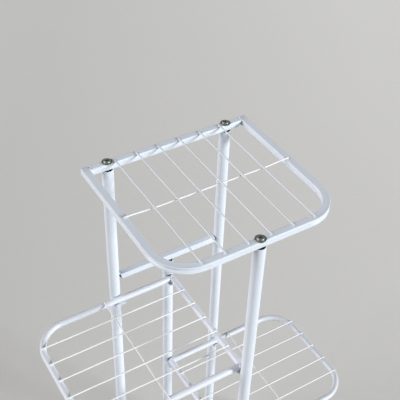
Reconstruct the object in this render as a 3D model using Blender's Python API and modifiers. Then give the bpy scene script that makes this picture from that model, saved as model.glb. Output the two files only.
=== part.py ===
"""Staggered plant and jar stand of bent steel tube: a top tray on three tube uprights, two side trays at
lower levels, and a low base frame. Units are metres, +Z up, origin on the floor at the middle of the base."""

import math

import bmesh
import bpy
from mathutils import Vector

# ---------------------------------------------------------------- driving dimensions
GAP = 0.0003            # clearance between pieces that touch or are welded

HEIGHT = 0.755          # floor to the top face of the top tray's rail
TOP_WIDTH = 0.250       # top tray, left to right, outside
TOP_DEPTH = 0.226       # top tray, front to back, outside
SQ = 0.010              # side of the square tube
SQ_CORNER = 0.0012      # its edge chamfer
SQ_WALL = 0.0010
BEND = 0.045            # bend radius at the middle of a rail

POST_D = 0.016          # round upright tube
POST_WALL = 0.0010
POST_X = 0.090          # back uprights left and right of the middle

RAIL_D = 0.0095         # round tube of the side trays
RAIL_WALL = 0.0009
SIDE_REACH = 0.2245     # middle of the stand to the middle of a side tray's outer rail
LEFT_DROP = 0.2470      # top face of the top tray down to the middle of the left tray's rail
RIGHT_DROP = 0.4475     # the same, right tray

WIRE_D = 0.0022
TOP_PITCH = 0.0318      # spacing of the top tray's long wires
SIDE_PITCH = 0.0305     # spacing of the side trays' long wires
SIDE_CROSS = 0.1125     # side tray cross wire, from the middle of the stand
TOP_CROSS_Y = 0.0015    # top tray cross wire

BAR_DROP = 0.2060       # top face of the top tray down to the top face of the crossbar

BASE_HALF_X = 0.22525   # middle of the base rail at its ends
FOOT_H = 0.0125         # floor to the underside of the base rail
FOOT_X = 0.172
FOOT_D = 0.016

SCREW_D = 0.006         # flanged button-head screw
SCREW_FLANGE_D = 0.0144
SCREW_HEAD_D = 0.0098
SCREW_HEAD_H = 0.0033
SCREW_IN_INSERT = 0.012
HOLE_D = 0.0068
INSERT_H = 0.014
INSERT_SINK = 0.0010

TAB_W = 0.016           # support tab under a side tray's rail
TAB_T = 0.002
LIP_DROP = 0.0015        # middle of the rail down to the top of a tab's upturned lip
TAB_FRONT = 0.0205      # upright's axis to the tab's free edge
TAB_BACK = 0.0065       # upright's axis to the tab's rear edge
TAB_SCREW_D = 0.0038
TAB_HEAD_D = 0.0076
TAB_HEAD_H = 0.0026
TAB_HOLE_D = 0.0046

# ---------------------------------------------------------------- derived levels
POST_R = POST_D / 2
RAIL_R = RAIL_D / 2
WIRE_R = WIRE_D / 2
POST_Y = TOP_DEPTH / 2 - SQ / 2
TOP_Z = HEIGHT - SQ / 2                      # middle of the top rail
BASE_Z = FOOT_H + SQ / 2                     # middle of the base rail
POST_TOP = HEIGHT - SQ - GAP
POST_BOTTOM = FOOT_H + SQ + GAP
SIDE_Y = POST_Y - POST_R - GAP - RAIL_R      # side tray's front and back rails
LEFT_Z = HEIGHT - LEFT_DROP
RIGHT_Z = HEIGHT - RIGHT_DROP
BAR_Z = HEIGHT - BAR_DROP - SQ / 2
BAR_END = POST_X - POST_R - GAP

# ---------------------------------------------------------------- a clean scene
for old in list(bpy.data.objects):
    bpy.data.objects.remove(old, do_unlink=True)

parts = bpy.data.collections.new("tiered_stand")
cutters = bpy.data.collections.new("cutters")
bpy.context.scene.collection.children.link(parts)
bpy.context.scene.collection.children.link(cutters)


def material(name, colour, metallic, roughness):
    mat = bpy.data.materials.new(name)
    mat.use_nodes = True
    shader = mat.node_tree.nodes["Principled BSDF"]
    shader.inputs["Base Color"].default_value = (*colour, 1.0)
    shader.inputs["Metallic"].default_value = metallic
    shader.inputs["Roughness"].default_value = roughness
    mat.diffuse_color = (*colour, 1.0)
    return mat


WHITE = material("white_powder_coat", (0.80, 0.82, 0.86), 0.0, 0.35)
WIRE_WHITE = material("white_coated_wire", (0.82, 0.83, 0.86), 0.0, 0.35)
STEEL = material("dark_zinc_steel", (0.16, 0.17, 0.15), 0.9, 0.38)
BLACK = material("black_nylon", (0.02, 0.02, 0.02), 0.0, 0.55)
FOOT_GREY = material("grey_rubber", (0.55, 0.55, 0.56), 0.0, 0.6)


def place(ob, mat, collection=None):
    (collection or parts).objects.link(ob)
    if mat is not None:
        ob.data.materials.clear()
        ob.data.materials.append(mat)
    return ob


def bent_path(corners, radius, steps, closed=False):
    """Points along straight runs joined by arcs of one radius at the inner corners."""
    pts = []
    n = len(corners)
    for i, c in enumerate(corners):
        c = Vector(c)
        if not closed and i in (0, n - 1):
            pts.append(c)
            continue
        a = (Vector(corners[i - 1]) - c).normalized()
        b = (Vector(corners[(i + 1) % n]) - c).normalized()
        start, end = c + a * radius, c + b * radius
        centre = c + (a + b) * radius
        for k in range(steps + 1):
            t = math.pi / 2 * k / steps
            pts.append(centre + (start - centre) * math.cos(t) + (end - centre) * math.sin(t))
    return pts


def curve_object(name, pts, closed=False):
    data = bpy.data.curves.new(name, "CURVE")
    data.dimensions = "3D"
    data.twist_mode = "Z_UP"
    spline = data.splines.new("POLY")
    spline.points.add(len(pts) - 1)
    for point, co in zip(spline.points, pts):
        point.co = (co[0], co[1], co[2], 1.0)
    spline.use_cyclic_u = closed
    return bpy.data.objects.new(name, data)


def square_section():
    """Outline of the square tube with chamfered edges, swept along a rail's path."""
    h, c = SQ / 2, SQ_CORNER
    data = bpy.data.curves.new("square_section", "CURVE")
    data.dimensions = "2D"
    outline = [(h, c - h), (h, h - c), (h - c, h), (c - h, h), (-h, h - c), (-h, c - h), (c - h, -h), (h - c, -h)]
    spline = data.splines.new("POLY")
    spline.points.add(len(outline) - 1)
    for point, co in zip(spline.points, outline):
        point.co = (co[0], co[1], 0.0, 1.0)
    spline.use_cyclic_u = True
    ob = bpy.data.objects.new("square_section", data)
    ob.hide_render = True
    ob.display_type = "WIRE"
    cutters.objects.link(ob)
    return ob


SECTION = square_section()


def hollow(name, pts, wall, closed=False, round_d=None, mat=WHITE):
    """A tube swept along a path, open at its ends, with a real wall."""
    guide = curve_object(name + "_path", pts, closed)
    guide.data.use_fill_caps = False
    if round_d:
        guide.data.bevel_depth = round_d / 2
        guide.data.bevel_resolution = 4
    else:
        guide.data.bevel_mode = "OBJECT"
        guide.data.bevel_object = SECTION
    cutters.objects.link(guide)
    bpy.context.view_layer.update()
    deps = bpy.context.evaluated_depsgraph_get()
    mesh = bpy.data.meshes.new_from_object(guide.evaluated_get(deps))
    mesh.name = name
    world = guide.matrix_world.copy()
    curve = guide.data
    bpy.data.objects.remove(guide, do_unlink=True)
    bpy.data.curves.remove(curve)
    bm = bmesh.new()
    bm.from_mesh(mesh)
    bmesh.ops.remove_doubles(bm, verts=bm.verts, dist=0.00001)
    bmesh.ops.recalc_face_normals(bm, faces=bm.faces)
    bm.to_mesh(mesh)
    bm.free()
    if round_d:
        mesh.shade_smooth()
    ob = bpy.data.objects.new(name, mesh)
    ob.matrix_world = world
    place(ob, mat)
    solid = ob.modifiers.new("wall", "SOLIDIFY")
    solid.thickness = wall
    solid.offset = -1.0
    solid.use_even_offset = True
    return ob


def cylinder_cutter(name, centre, radius, length, sides=16, turn=0.0):
    bm = bmesh.new()
    bmesh.ops.create_cone(bm, cap_ends=True, segments=sides, radius1=radius, radius2=radius, depth=length)
    mesh = bpy.data.meshes.new(name)
    bm.to_mesh(mesh)
    bm.free()
    ob = bpy.data.objects.new(name, mesh)
    ob.location = centre
    ob.rotation_euler = (0.0, 0.0, turn)
    ob.hide_render = True
    ob.display_type = "WIRE"
    cutters.objects.link(ob)
    return ob


def cut(ob, cutter):
    mod = ob.modifiers.new("cut_" + cutter.name, "BOOLEAN")
    mod.operation = "DIFFERENCE"
    mod.solver = "EXACT"
    mod.object = cutter
    return mod


def turned(name, profile, location, mat, steps=16, ring=False, flip=False):
    """A profile turned about Z. It lists the outer side from top to bottom; a ring's profile closes on itself."""
    mesh = bpy.data.meshes.new(name)
    verts = [(r, 0.0, z) for r, z in profile]
    edges = [(i, i + 1) for i in range(len(verts) - 1)]
    if ring:
        edges.append((len(verts) - 1, 0))
    mesh.from_pydata(verts, edges, [])
    ob = bpy.data.objects.new(name, mesh)
    ob.location = location
    if flip:
        ob.rotation_euler = (math.pi, 0.0, 0.0)
    place(ob, mat)
    mod = ob.modifiers.new("turn", "SCREW")
    mod.axis = "Z"
    mod.angle = math.tau
    mod.steps = steps
    mod.render_steps = steps
    mod.use_merge_vertices = True
    mod.merge_threshold = 0.00001
    mod.use_smooth_shade = True
    return ob


def wire(name, pts):
    ob = curve_object(name, pts)
    ob.data.bevel_depth = WIRE_R
    ob.data.bevel_resolution = 2
    ob.data.use_fill_caps = True
    return place(ob, WIRE_WHITE)


# ---------------------------------------------------------------- top tray
half_w = TOP_WIDTH / 2 - SQ / 2
half_d = TOP_DEPTH / 2
top_bent = hollow(
    "top_tray_bent_rail",
    bent_path([(-half_w, half_d, TOP_Z), (-half_w, -POST_Y, TOP_Z), (half_w, -POST_Y, TOP_Z), (half_w, half_d, TOP_Z)], BEND, 7),
    SQ_WALL,
)
back_end = half_w - SQ / 2 - GAP
top_back = hollow("top_tray_back_rail", [(-back_end, POST_Y, TOP_Z), (back_end, POST_Y, TOP_Z)], SQ_WALL)

on_top = HEIGHT + GAP + WIRE_R               # a wire lying on the rail
under = HEIGHT + GAP - GAP - WIRE_R          # the cross wire where it passes below the long wires
for i in range(6):
    x = (i - 2.5) * TOP_PITCH
    wire("top_tray_wire_%d" % (i + 1), [(x, -POST_Y - 0.0003, on_top), (x, POST_Y + 0.0003, on_top)])


def joggled(a, b, ends_z, middle_z, along_x, other):
    """Cross wire: its ends lie on the rails, and it steps down to pass below the long wires."""
    step = 0.010
    rest = 0.0065
    run = [(a, ends_z), (a + rest, ends_z), (a + rest + step * 0.35, ends_z - (ends_z - middle_z) * 0.25),
           (a + rest + step * 0.65, ends_z - (ends_z - middle_z) * 0.75), (a + rest + step, middle_z)]
    mirrored = [(b - (u - a), z) for u, z in reversed(run)]
    return [(u, other, z) if along_x else (other, u, z) for u, z in run + mirrored]


wire("top_tray_cross_wire", joggled(-half_w, half_w, on_top, under, True, TOP_CROSS_Y))


# ---------------------------------------------------------------- side trays
def side_tray(side, sign, z):
    """A U of round tube whose legs butt on a straight inner rail, with long wires out to the end rail."""
    start = sign * (RAIL_R + GAP)
    reach = sign * SIDE_REACH
    bent = hollow(
        side + "_tray_bent_rail",
        bent_path([(start, SIDE_Y, z), (reach, SIDE_Y, z), (reach, -SIDE_Y, z), (start, -SIDE_Y, z)], BEND, 7),
        RAIL_WALL,
        round_d=RAIL_D,
    )
    inner_half = POST_Y - POST_R - GAP
    inner = hollow(side + "_tray_inner_rail", [(0, -inner_half, z), (0, inner_half, z)], RAIL_WALL, round_d=RAIL_D)
    top = z + RAIL_R + GAP + WIRE_R
    low = z + RAIL_R - WIRE_R
    for i in range(5):
        y = (2 - i) * SIDE_PITCH
        wire("%s_tray_wire_%d" % (side, i + 1), [(-sign * 0.0016, y, top), (reach + sign * 0.0018, y, top)])
    wire(side + "_tray_cross_wire", joggled(-SIDE_Y - 0.0008, SIDE_Y + 0.0008, top, low, False, sign * SIDE_CROSS))
    return bent, inner


left_bent, left_inner = side_tray("left", -1, LEFT_Z)
right_bent, right_inner = side_tray("right", 1, RIGHT_Z)

# ---------------------------------------------------------------- uprights and crossbar
posts = {
    "back_left": (-POST_X, POST_Y),
    "back_right": (POST_X, POST_Y),
    "front": (0.0, -POST_Y),
    "back_middle": (0.0, POST_Y),
}
for name, (x, y) in posts.items():
    top = POST_TOP if name != "back_middle" else BAR_Z - SQ / 2 - GAP
    length = top - POST_BOTTOM
    inner = POST_R - POST_WALL
    turned(
        "upright_" + name,
        [(POST_R, length), (POST_R, 0.0), (inner, 0.0), (inner, length)],
        (x, y, POST_BOTTOM), WHITE, steps=24, ring=True,
    )

crossbar = hollow("crossbar", [(-BAR_END, POST_Y, BAR_Z), (BAR_END, POST_Y, BAR_Z)], SQ_WALL)

# ---------------------------------------------------------------- base frame: one closed loop of square tube
base = hollow(
    "base_frame",
    bent_path([(-BASE_HALF_X, POST_Y, BASE_Z), (-BASE_HALF_X, -POST_Y, BASE_Z), (BASE_HALF_X, -POST_Y, BASE_Z), (BASE_HALF_X, POST_Y, BASE_Z)], BEND, 6, closed=True),
    SQ_WALL, closed=True,
)

# ---------------------------------------------------------------- inserts and screws at both ends of the three bolted uprights
flange_r, head_r = SCREW_FLANGE_D / 2, SCREW_HEAD_D / 2
shank_r = SCREW_D / 2
shank = SQ + 2 * GAP + INSERT_SINK + SCREW_IN_INSERT
screw_profile = [
    (0.0, SCREW_HEAD_H), (head_r * 0.55, SCREW_HEAD_H), (head_r * 0.88, SCREW_HEAD_H * 0.72), (head_r, 0.0011),
    (flange_r, 0.0008), (flange_r, 0.0), (shank_r, 0.0), (shank_r, -shank + 0.0008), (shank_r - 0.0008, -shank), (0.0, -shank),
]
insert_r = POST_R - POST_WALL - GAP
bore_r = shank_r + GAP
for name, (x, y) in posts.items():
    if name == "back_middle":
        continue
    turned("top_insert_" + name, [(insert_r, 0.0), (insert_r, -INSERT_H), (bore_r, -INSERT_H), (bore_r, 0.0)],
           (x, y, POST_TOP - INSERT_SINK), BLACK, ring=True)
    turned("base_insert_" + name, [(insert_r, INSERT_H), (insert_r, 0.0), (bore_r, 0.0), (bore_r, INSERT_H)],
           (x, y, POST_BOTTOM + INSERT_SINK), BLACK, ring=True)
    z_top, z_low = HEIGHT + GAP, FOOT_H - GAP
    for label, z, flip in (("tray_screw_", z_top, False), ("base_screw_", z_low, True)):
        screw = turned(label + name, screw_profile, (x, y, z), STEEL, flip=flip)
        away = 1 if not flip else -1
        key = cylinder_cutter("hex_" + label + name, (x, y, z + away * (SCREW_HEAD_H + 0.0002)), 0.0023, 0.0042, sides=6, turn=0.26)
        cut(screw, key)
    through = cylinder_cutter("bolt_hole_top_" + name, (x, y, TOP_Z), HOLE_D / 2, 0.020)
    cut(top_back if y > 0 else top_bent, through)
    through = cylinder_cutter("bolt_hole_base_" + name, (x, y, BASE_Z), HOLE_D / 2, 0.020)
    cut(base, through)

# ---------------------------------------------------------------- feet, each with a peg up into the base rail
foot_r = FOOT_D / 2
for fy, front in ((-POST_Y, "front"), (POST_Y, "back")):
    for fx, hand in ((-FOOT_X, "left"), (FOOT_X, "right")):
        peg_top = FOOT_H + 0.005
        turned(
            "foot_%s_%s" % (front, hand),
            [(0.0, peg_top), (0.0026, peg_top), (0.0026, FOOT_H - GAP), (0.0062, FOOT_H - GAP),
             (0.0068, FOOT_H - 0.0012), (foot_r, 0.0012), (foot_r - 0.0012, 0.0), (0.0, 0.0)],
            (fx, fy, 0.0), FOOT_GREY,
        )
        hole = cylinder_cutter("peg_hole_%s_%s" % (front, hand), (fx, fy, FOOT_H), 0.0030, 0.006)
        cut(base, hole)


# ---------------------------------------------------------------- support tabs on the uprights, one screw up into each rail
def tab(side, post, z, rails):
    x, y = posts[post]
    face = 1 if y > 0 else -1                       # the tab stands towards the middle of the stand
    near, far = y - face * TAB_BACK, y - face * TAB_FRONT
    top = z - RAIL_R - GAP
    name = "%s_tray_tab_%s" % (side, post)
    if x == 0.0:
        side_view = [(near, top - TAB_T), (far, top - TAB_T), (far, top), (near, top)]
    else:                                           # a corner tab's free edge turns up in front of the rail
        lip_in, lip_top = far + face * TAB_T, z - LIP_DROP
        side_view = [(near, top - TAB_T), (far, top - TAB_T), (far, lip_top), (lip_in, lip_top), (lip_in, top), (near, top)]
    bm = bmesh.new()
    ends = [[bm.verts.new((dx * TAB_W / 2, v, h - top)) for v, h in side_view] for dx in (-1, 1)]
    count = len(side_view)
    for k in range(count):
        bm.faces.new((ends[0][k], ends[0][(k + 1) % count], ends[1][(k + 1) % count], ends[1][k]))
    bm.faces.new(list(reversed(ends[0])))
    bm.faces.new(ends[1])
    bmesh.ops.recalc_face_normals(bm, faces=bm.faces)
    mesh = bpy.data.meshes.new(name)
    bm.to_mesh(mesh)
    bm.free()
    plate = bpy.data.objects.new(name, mesh)
    plate.location = (x, 0.0, top)
    place(plate, WHITE)
    cut(plate, cylinder_cutter("seat_" + name, (x, y, top), POST_R + GAP, 0.02, sides=24))
    sy = face * SIDE_Y
    drill = cylinder_cutter("drill_" + name, (x, sy, top - 0.0008), TAB_HOLE_D / 2, 0.0066, sides=12)
    cut(plate, drill)
    cut(rails, drill)
    head_r2, shank_r2 = TAB_HEAD_D / 2, TAB_SCREW_D / 2
    up = TAB_T + 2 * GAP + 0.0022
    turned(
        "%s_tray_screw_%s" % (side, post),
        [(0.0, up), (shank_r2 - 0.0004, up), (shank_r2, up - 0.0004), (shank_r2, 0.0), (head_r2, 0.0),
         (head_r2, -0.0012), (head_r2 * 0.7, -TAB_HEAD_H), (0.0, -TAB_HEAD_H)],
        (x, sy, top - TAB_T - GAP), STEEL, steps=12,
    )


tab("left", "back_left", LEFT_Z, left_bent)
tab("left", "back_middle", LEFT_Z, left_inner)
tab("left", "front", LEFT_Z, left_inner)
tab("right", "back_right", RIGHT_Z, right_bent)
tab("right", "back_middle", RIGHT_Z, right_inner)
tab("right", "front", RIGHT_Z, right_inner)

# the swept section is spent once the rails are made
section_data = SECTION.data
bpy.data.objects.remove(SECTION, do_unlink=True)
bpy.data.curves.remove(section_data)
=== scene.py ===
"""Looks of the staggered wire-tray stand: powder-coated bent tube, coated wires, flanged screws, welds.
Every CAD node is replaced by a finely meshed piece in the same place. Metres, +Z up, floor at z = 0."""

import math
import random

import bpy
from mathutils import Matrix, Vector, noise


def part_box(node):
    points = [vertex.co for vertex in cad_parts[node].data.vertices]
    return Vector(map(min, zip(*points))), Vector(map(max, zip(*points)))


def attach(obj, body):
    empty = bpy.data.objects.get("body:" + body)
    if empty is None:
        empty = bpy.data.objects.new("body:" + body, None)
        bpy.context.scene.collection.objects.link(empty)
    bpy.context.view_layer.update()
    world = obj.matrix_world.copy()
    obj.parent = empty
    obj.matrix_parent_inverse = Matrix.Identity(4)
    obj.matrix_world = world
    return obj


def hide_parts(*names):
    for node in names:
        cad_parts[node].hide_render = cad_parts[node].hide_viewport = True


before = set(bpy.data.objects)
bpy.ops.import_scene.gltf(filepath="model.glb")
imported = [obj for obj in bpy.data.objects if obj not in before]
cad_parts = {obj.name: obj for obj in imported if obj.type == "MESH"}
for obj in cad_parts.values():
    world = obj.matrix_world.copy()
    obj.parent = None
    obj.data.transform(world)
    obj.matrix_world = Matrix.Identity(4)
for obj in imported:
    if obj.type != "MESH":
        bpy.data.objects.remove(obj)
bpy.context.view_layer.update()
Z = Vector((0.0, 0.0, 1.0))


def mid(node):
    lo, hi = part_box(node)
    return (lo + hi) / 2


# ================================================================ materials
def new_tree(name):
    mat = bpy.data.materials.new(name)
    mat.use_nodes = True
    nodes, links = mat.node_tree.nodes, mat.node_tree.links
    shader = nodes["Principled BSDF"]
    coord = nodes.new("ShaderNodeTexCoord")
    return mat, nodes, links, shader, coord.outputs["Object"]


def noise_node(nodes, links, vector, scale, detail=2.0, rough=0.5, distortion=0.0):
    tex = nodes.new("ShaderNodeTexNoise")
    tex.inputs["Scale"].default_value = scale
    tex.inputs["Detail"].default_value = detail
    tex.inputs["Roughness"].default_value = rough
    tex.inputs["Distortion"].default_value = distortion
    links.new(vector, tex.inputs["Vector"])
    return tex


def ramp_node(nodes, links, fac, stops):
    ramp = nodes.new("ShaderNodeValToRGB")
    el = ramp.color_ramp.elements
    while len(el) < len(stops):
        el.new(0.5)
    for e, (pos, col) in zip(el, stops):
        e.position = pos
        e.color = (col, col, col, 1.0) if isinstance(col, (int, float)) else (*col, 1.0)
    links.new(fac, ramp.inputs["Fac"])
    return ramp


def mix_node(nodes, links, kind, fac, a, b):
    mix = nodes.new("ShaderNodeMix")
    mix.data_type = "RGBA"
    mix.blend_type = kind
    if isinstance(fac, float):
        mix.inputs["Factor"].default_value = fac
    else:
        links.new(fac, mix.inputs["Factor"])
    for socket, value in ((mix.inputs[6], a), (mix.inputs[7], b)):
        if isinstance(value, tuple):
            socket.default_value = (*value, 1.0)
        else:
            links.new(value, socket)
    return mix.outputs[2]


def bump_node(nodes, links, height, strength, distance, previous=None):
    bump = nodes.new("ShaderNodeBump")
    bump.inputs["Strength"].default_value = strength
    bump.inputs["Distance"].default_value = distance
    links.new(height, bump.inputs["Height"])
    if previous is not None:
        links.new(previous, bump.inputs["Normal"])
    return bump.outputs["Normal"]


def range_node(nodes, links, value, low, high):
    rng = nodes.new("ShaderNodeMapRange")
    rng.inputs["To Min"].default_value = low
    rng.inputs["To Max"].default_value = high
    links.new(value, rng.inputs["Value"])
    return rng.outputs["Result"]


def shade(col, k):
    return tuple(min(1.0, c * k) for c in col)


def powder_coat(name, base, rough_low, rough_high, peel):
    """Semi-gloss powder coat: faint tone drift, orange peel, fine grain, a few dust nibs, thinner film on sharp edges,
    and painted shade darkening its concave creases.
    """
    mat, nodes, links, shader, vec = new_tree(name)
    drift = noise_node(nodes, links, vec, 14.0, 3.0)
    tone = ramp_node(nodes, links, drift.outputs["Fac"], [(0.30, shade(base, 0.965)), (0.52, base), (0.72, shade(base, 1.02))])
    nibs = nodes.new("ShaderNodeTexVoronoi")
    nibs.inputs["Scale"].default_value = 210.0
    links.new(vec, nibs.inputs["Vector"])
    nib = ramp_node(nodes, links, nibs.outputs["Distance"], [(0.0, 0.86), (0.045, 0.90), (0.075, 1.0)])
    speck = noise_node(nodes, links, vec, 90.0, 1.0)
    gate = ramp_node(nodes, links, speck.outputs["Fac"], [(0.56, 0.0), (0.66, 1.0)])
    colour = mix_node(nodes, links, "MULTIPLY", gate.outputs["Color"], tone.outputs["Color"], nib.outputs["Color"])
    geo = nodes.new("ShaderNodeNewGeometry")
    # Painted shade: concave creases are darkened by pointiness; sharp convex edges come out a touch darker where the
    # film is thinner.
    crease_shade_and_thin_edges = ramp_node(nodes, links, geo.outputs["Pointiness"], [(0.40, 0.90), (0.475, 1.0), (0.56, 1.0), (0.66, 0.965)])
    colour = mix_node(nodes, links, "MULTIPLY", 1.0, colour, crease_shade_and_thin_edges.outputs["Color"])
    links.new(colour, shader.inputs["Base Color"])
    orange = noise_node(nodes, links, vec, 520.0, 2.0, 0.45)
    grain = noise_node(nodes, links, vec, 2600.0, 2.0)
    patch = noise_node(nodes, links, vec, 60.0, 2.0)
    blended = nodes.new("ShaderNodeMath")
    blended.operation = "MULTIPLY_ADD"
    blended.inputs[1].default_value = 0.45
    links.new(grain.outputs["Fac"], blended.inputs[0])
    links.new(patch.outputs["Fac"], blended.inputs[2])
    links.new(range_node(nodes, links, blended.outputs[0], rough_low, rough_high), shader.inputs["Roughness"])
    shader.inputs["IOR"].default_value = 1.5
    first = bump_node(nodes, links, orange.outputs["Fac"], peel, 0.00022)
    links.new(bump_node(nodes, links, grain.outputs["Fac"], 0.12, 0.00005, first), shader.inputs["Normal"])
    return mat


def bare_steel(name):
    """Uncoated inside of the tubes: dark mill finish with a faint mottle."""
    mat, nodes, links, shader, vec = new_tree(name)
    tex = noise_node(nodes, links, vec, 240.0, 4.0, 0.6)
    tone = ramp_node(nodes, links, tex.outputs["Fac"], [(0.3, (0.035, 0.036, 0.040)), (0.6, (0.075, 0.078, 0.084)), (0.8, (0.13, 0.13, 0.14))])
    links.new(tone.outputs["Color"], shader.inputs["Base Color"])
    shader.inputs["Metallic"].default_value = 0.6
    links.new(range_node(nodes, links, tex.outputs["Fac"], 0.5, 0.75), shader.inputs["Roughness"])
    links.new(bump_node(nodes, links, tex.outputs["Fac"], 0.4, 0.0001), shader.inputs["Normal"])
    return mat


def zinc_plate(name, tones, edge, metallic):
    """Passivated zinc: olive-grey mottling, rubbed bright on the edges, fine tumbling scratches, and painted shade
    darkening its hollows such as the hex socket.
    """
    mat, nodes, links, shader, vec = new_tree(name)
    mottle = noise_node(nodes, links, vec, 420.0, 4.0, 0.62)
    tone = ramp_node(nodes, links, mottle.outputs["Fac"], [(0.28, tones[0]), (0.50, tones[1]), (0.74, tones[2])])
    geo = nodes.new("ShaderNodeNewGeometry")
    worn = ramp_node(nodes, links, geo.outputs["Pointiness"], [(0.44, 0.0), (0.53, 0.06), (0.62, 0.55)])
    colour = mix_node(nodes, links, "MIX", worn.outputs["Color"], tone.outputs["Color"], edge)
    # Painted shade: concave hollows, such as the hex socket, are darkened to under half.
    painted_hollow_shade = ramp_node(nodes, links, geo.outputs["Pointiness"], [(0.36, 0.45), (0.47, 1.0)])
    colour = mix_node(nodes, links, "MULTIPLY", 1.0, colour, painted_hollow_shade.outputs["Color"])
    links.new(colour, shader.inputs["Base Color"])
    shader.inputs["Metallic"].default_value = metallic
    squeeze = nodes.new("ShaderNodeMapping")
    squeeze.inputs["Scale"].default_value = (300.0, 2600.0, 900.0)
    squeeze.inputs["Rotation"].default_value = (0.0, 0.0, 0.7)
    links.new(vec, squeeze.inputs["Vector"])
    scratch = noise_node(nodes, links, squeeze.outputs["Vector"], 1.0, 3.0)
    links.new(range_node(nodes, links, scratch.outputs["Fac"], 0.26, 0.50), shader.inputs["Roughness"])
    first = bump_node(nodes, links, scratch.outputs["Fac"], 0.25, 0.00004)
    links.new(bump_node(nodes, links, mottle.outputs["Fac"], 0.3, 0.00006, first), shader.inputs["Normal"])
    return mat


def moulded(name, dark, light, rough_low, rough_high, scale=900.0, strength=0.4):
    """Moulded plastic with a spark-eroded grain and slight flow marks."""
    mat, nodes, links, shader, vec = new_tree(name)
    flow = noise_node(nodes, links, vec, 60.0, 3.0, 0.5, 0.6)
    tone = ramp_node(nodes, links, flow.outputs["Fac"], [(0.3, dark), (0.7, light)])
    links.new(tone.outputs["Color"], shader.inputs["Base Color"])
    grain = nodes.new("ShaderNodeTexVoronoi")
    grain.inputs["Scale"].default_value = scale
    links.new(vec, grain.inputs["Vector"])
    links.new(range_node(nodes, links, flow.outputs["Fac"], rough_low, rough_high), shader.inputs["Roughness"])
    links.new(bump_node(nodes, links, grain.outputs["Distance"], strength, 0.00008), shader.inputs["Normal"])
    return mat


def floor_material(name):
    """Matt warm-grey studio floor with a faint mottled tone and fine tooth, and painted light falloff that darkens it
    towards the left of the view and towards the camera.
    """
    mat, nodes, links, shader, vec = new_tree(name)
    cloud = noise_node(nodes, links, vec, 0.9, 3.0)
    tone = ramp_node(nodes, links, cloud.outputs["Fac"], [(0.25, (0.878, 0.873, 0.852)), (0.75, (0.898, 0.893, 0.874))])
    tooth = noise_node(nodes, links, vec, 55.0, 4.0, 0.6)
    fleck = ramp_node(nodes, links, tooth.outputs["Fac"], [(0.3, 0.985), (0.7, 1.0)])
    colour = mix_node(nodes, links, "MULTIPLY", 1.0, tone.outputs["Color"], fleck.outputs["Color"])
    # Painted light falloff: one gradient across the view darkens the floor to the left, one along the view darkens it
    # towards the camera.
    for turn_by, scale, offset, low in ((32.6, 0.9, 0.5, (0.855, 0.858, 0.846)), (-57.4, 0.5, -0.05, (0.91, 0.908, 0.903))):
        place = nodes.new("ShaderNodeMapping")
        place.inputs["Rotation"].default_value = (0.0, 0.0, math.radians(turn_by))
        place.inputs["Scale"].default_value = (scale, scale, scale)
        place.inputs["Location"].default_value = (offset, 0.0, 0.0)
        links.new(vec, place.inputs["Vector"])
        painted_light_sweep = nodes.new("ShaderNodeTexGradient")
        links.new(place.outputs["Vector"], painted_light_sweep.inputs["Vector"])
        fade = ramp_node(nodes, links, painted_light_sweep.outputs["Fac"], [(0.0, low), (1.0, (1.0, 1.0, 1.0))])
        colour = mix_node(nodes, links, "MULTIPLY", 1.0, colour, fade.outputs["Color"])
    links.new(colour, shader.inputs["Base Color"])
    links.new(range_node(nodes, links, tooth.outputs["Fac"], 0.85, 0.95), shader.inputs["Roughness"])
    shader.inputs["Specular IOR Level"].default_value = 0.1
    links.new(bump_node(nodes, links, tooth.outputs["Fac"], 0.12, 0.0006), shader.inputs["Normal"])
    return mat


COAT = powder_coat("white_powder_coat", (0.765, 0.822, 0.895), 0.27, 0.38, 0.05)
# Painted light and shade: the wires and the side trays reuse the white coat in lighter and darker copies. The side
# trays' tubes, welds and wires and the top cross wire get lighter copies; the top tray's long wires get a darker, bluer
# one.
LIT_WIRE_COPY = powder_coat("white_coated_wire", (0.905, 0.915, 0.925), 0.27, 0.38, 0.12)
SHADED_TOP_WIRE_COPY = powder_coat("cool_white_coated_wire", (0.775, 0.815, 0.865), 0.27, 0.38, 0.12)
SIDE_TRAY_LIT_COPY = powder_coat("side_tray_coat_lit_copy", (0.805, 0.836, 0.905), 0.27, 0.38, 0.05)
INSIDE = bare_steel("bare_tube_inside")
ZINC = zinc_plate("dark_zinc_steel", ((0.155, 0.172, 0.150), (0.245, 0.268, 0.235), (0.37, 0.395, 0.355)), (0.52, 0.54, 0.50), 0.62)
PALE_ZINC = zinc_plate("pale_zinc_steel", ((0.42, 0.445, 0.47), (0.54, 0.565, 0.60), (0.66, 0.685, 0.72)), (0.76, 0.78, 0.80), 0.40)
NYLON = moulded("black_nylon", (0.010, 0.011, 0.013), (0.022, 0.023, 0.026), 0.45, 0.62)
FOOT = moulded("grey_foot_plastic", (0.40, 0.41, 0.42), (0.47, 0.48, 0.49), 0.50, 0.66, 700.0, 0.5)
FLOOR = floor_material("studio_floor")


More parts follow.
